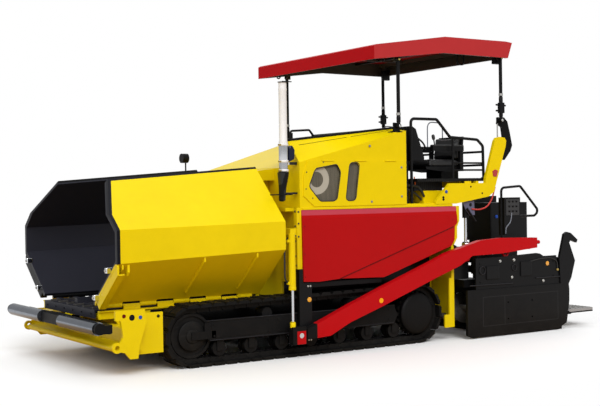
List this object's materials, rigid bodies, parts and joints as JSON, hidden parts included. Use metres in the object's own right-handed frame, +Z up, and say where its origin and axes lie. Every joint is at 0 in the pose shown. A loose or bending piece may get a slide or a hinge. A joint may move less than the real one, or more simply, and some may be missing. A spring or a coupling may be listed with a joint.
{
  "type": "tracked asphalt paver",
  "caption": "Tracked asphalt paver: hopper with folding wings, push rollers, steel crawler tracks, operator platform under a folding canopy, tow arms and an extending screed.",
  "frame": {"origin": "on the ground, midway between the front of the push rollers and the rear edge of the walkway, on the machine's centre plane", "axes": "+X forward to the hopper, +Y to the machine's left, +Z up"},
  "size_m": [6.85, 2.55, 3.547],
  "materials": {
    "red_paint": "semi-gloss red coat",
    "yellow_paint": "semi-gloss yellow coat",
    "black_paint": "satin black coat",
    "bright_steel": "bare steel, polished by wear",
    "cast_iron": "dark cast and forged steel",
    "seat_vinyl": "padded black vinyl"
  },
  "bodies": {
    "tractor": {"chassis_frame": "yellow_paint", "conveyor_floor": "black_paint", "dashboard": "black_paint", "engine": "cast_iron", "engine_bay": "yellow_paint", "exhaust_stack": "bright_steel", "front_bumper": "yellow_paint", "hood_body": "yellow_paint", "hood_walkway": "black_paint", "hopper_rear_wall": "yellow_paint", "levelling_cylinders": "yellow_paint", "platform_beams": "yellow_paint", "platform_deck": "black_paint", "platform_rails": "black_paint", "radiator": "black_paint", "seat_bases": "black_paint", "seat_cushions": "seat_vinyl", "side_panel_left": "red_paint", "side_panel_right": "red_paint", "tow_guides": "black_paint", "track_frames": "black_paint", "track_left": "cast_iron", "track_right": "cast_iron", "track_wheels": "cast_iron", "work_lamp": "black_paint"},
    "wing_left": {"hopper_wing_left": "yellow_paint", "wing_liner_left": "black_paint"},
    "wing_right": {"hopper_wing_right": "yellow_paint", "wing_liner_right": "black_paint"},
    "push_beam": {"push_beam": "black_paint"},
    "roller_left": {"push_roller_left": "bright_steel"},
    "roller_right": {"push_roller_right": "bright_steel"},
    "fan": {"cooling_fan": "black_paint"},
    "door_left": {"hood_door_left": "yellow_paint"},
    "door_right": {"hood_door_right": "yellow_paint"},
    "rain_cap": {"rain_cap": "black_paint"},
    "front_posts": {"canopy_front_posts": "black_paint"},
    "canopy": {"canopy_roof": "red_paint"},
    "rear_posts": {"canopy_rear_posts": "black_paint"},
    "tow_points": {"tow_points": "black_paint"},
    "screed": {"tow_arms": "red_paint", "screed_body": "black_paint", "screed_cabinet": "black_paint", "screed_consoles": "black_paint"},
    "lift_barrels": {"lift_barrels": "black_paint"},
    "lift_rods": {"lift_rods": "bright_steel"},
    "auger_carriage": {"auger_carriage": "black_paint"},
    "auger_left": {"auger_left": "bright_steel"},
    "auger_right": {"auger_right": "bright_steel"},
    "extension_left": {"extension_left": "black_paint"},
    "extension_right": {"extension_right": "black_paint"},
    "gate_left": {"end_gate_left": "black_paint"},
    "gate_right": {"end_gate_right": "black_paint"},
    "walkway_left": {"rear_walkway_left": "black_paint"},
    "walkway_right": {"rear_walkway_right": "black_paint"}
  },
  "joints": [
    {"name": "wing_left_hinge", "type": "hinge", "parent": "tractor", "child": "wing_left", "pos_m": [2.2, 0.706, 0.653], "axis": [-1, 0, 0], "range_deg": [0, 25]},
    {"name": "wing_right_hinge", "type": "hinge", "parent": "tractor", "child": "wing_right", "pos_m": [2.2, -0.706, 0.653], "axis": [1, 0, 0], "range_deg": [0, 25]},
    {"name": "push_beam_swivel", "type": "hinge", "parent": "tractor", "child": "push_beam", "pos_m": [3.138, 0, 0.472], "axis": [0, 0, 1], "range_deg": [-4, 4]},
    {"name": "push_roller_left_spin", "type": "hinge", "parent": "push_beam", "child": "roller_left", "pos_m": [3.36, 0.736, 0.49], "axis": [0, 1, 0], "continuous": true},
    {"name": "push_roller_right_spin", "type": "hinge", "parent": "push_beam", "child": "roller_right", "pos_m": [3.36, -0.736, 0.49], "axis": [0, 1, 0], "continuous": true},
    {"name": "fan_spin", "type": "hinge", "parent": "tractor", "child": "fan", "pos_m": [0.64, 1.02, 1.84], "axis": [0, 1, 0], "continuous": true},
    {"name": "hood_door_left_hinge", "type": "hinge", "parent": "tractor", "child": "door_left", "pos_m": [0.27, 1.16, 2.104], "axis": [1, 0, 0], "range_deg": [0, 80]},
    {"name": "hood_door_right_hinge", "type": "hinge", "parent": "tractor", "child": "door_right", "pos_m": [0.27, -1.16, 1.864], "axis": [-1, 0, 0], "range_deg": [0, 80]},
    {"name": "rain_cap_hinge", "type": "hinge", "parent": "tractor", "child": "rain_cap", "pos_m": [1.114, 1.092, 2.95], "axis": [0, -1, 0], "range_deg": [0, 60]},
    {"name": "canopy_front_fold", "type": "hinge", "parent": "tractor", "child": "front_posts", "pos_m": [-0.344, 0, 2.5], "axis": [0, 1, 0], "range_deg": [0, 70]},
    {"name": "canopy_level", "type": "hinge", "parent": "front_posts", "child": "canopy", "pos_m": [-0.344, 0, 3.26], "axis": [0, 1, 0], "range_deg": [-71, 0]},
    {"name": "canopy_rear_fold", "type": "hinge", "parent": "tractor", "child": "rear_posts", "pos_m": [-1.925, 0, 2.6], "axis": [0, 1, 0], "range_deg": [0, 71]},
    {"name": "tow_point_slide", "type": "slide", "parent": "tractor", "child": "tow_points", "axis": [0, 0, 1], "range_m": [0, 0.2]},
    {"name": "screed_lift", "type": "hinge", "parent": "tow_points", "child": "screed", "pos_m": [1.085, 0, 0.245], "axis": [0, 1, 0], "range_deg": [0, 7]},
    {"name": "lift_cylinder_pivot", "type": "hinge", "parent": "tractor", "child": "lift_barrels", "pos_m": [-1.4, 0, 1.826], "axis": [0, -1, 0], "range_deg": [0, 17]},
    {"name": "lift_cylinder_rod", "type": "slide", "parent": "lift_barrels", "child": "lift_rods", "axis": [0, 0, 1], "range_m": [0, 0.279]},
    {"name": "auger_height", "type": "slide", "parent": "tractor", "child": "auger_carriage", "axis": [0, 0, 1], "range_m": [0, 0.12]},
    {"name": "auger_left_spin", "type": "hinge", "parent": "auger_carriage", "child": "auger_left", "pos_m": [-1.5, 0.62, 0.33], "axis": [0, 1, 0], "continuous": true},
    {"name": "auger_right_spin", "type": "hinge", "parent": "auger_carriage", "child": "auger_right", "pos_m": [-1.5, -0.62, 0.33], "axis": [0, 1, 0], "continuous": true},
    {"name": "extension_left_slide", "type": "slide", "parent": "screed", "child": "extension_left", "axis": [0, 1, 0], "range_m": [0, 0.9]},
    {"name": "extension_right_slide", "type": "slide", "parent": "screed", "child": "extension_right", "axis": [0, -1, 0], "range_m": [0, 0.9]},
    {"name": "end_gate_left_float", "type": "slide", "parent": "extension_left", "child": "gate_left", "axis": [0, 0, 1], "range_m": [0, 0.03]},
    {"name": "end_gate_right_float", "type": "slide", "parent": "extension_right", "child": "gate_right", "axis": [0, 0, 1], "range_m": [0, 0.03]},
    {"name": "walkway_left_fold", "type": "hinge", "parent": "extension_left", "child": "walkway_left", "pos_m": [-2.985, 0.7, 0.202], "axis": [0, 1, 0], "range_deg": [0, 95]},
    {"name": "walkway_right_fold", "type": "hinge", "parent": "extension_right", "child": "walkway_right", "pos_m": [-2.985, -0.7, 0.202], "axis": [0, 1, 0], "range_deg": [0, 95]}
  ],
  "couplings": [
    {"joint": "canopy_level", "follows": "canopy_front_fold", "ratio": -1},
    {"joint": "canopy_rear_fold", "follows": "canopy_front_fold", "ratio": 1},
    {"joint": "lift_cylinder_pivot", "follows": "screed_lift", "ratio": 2.35},
    {"joint": "lift_cylinder_rod", "follows": "screed_lift", "m_per_rad": 2.28}
  ]
}
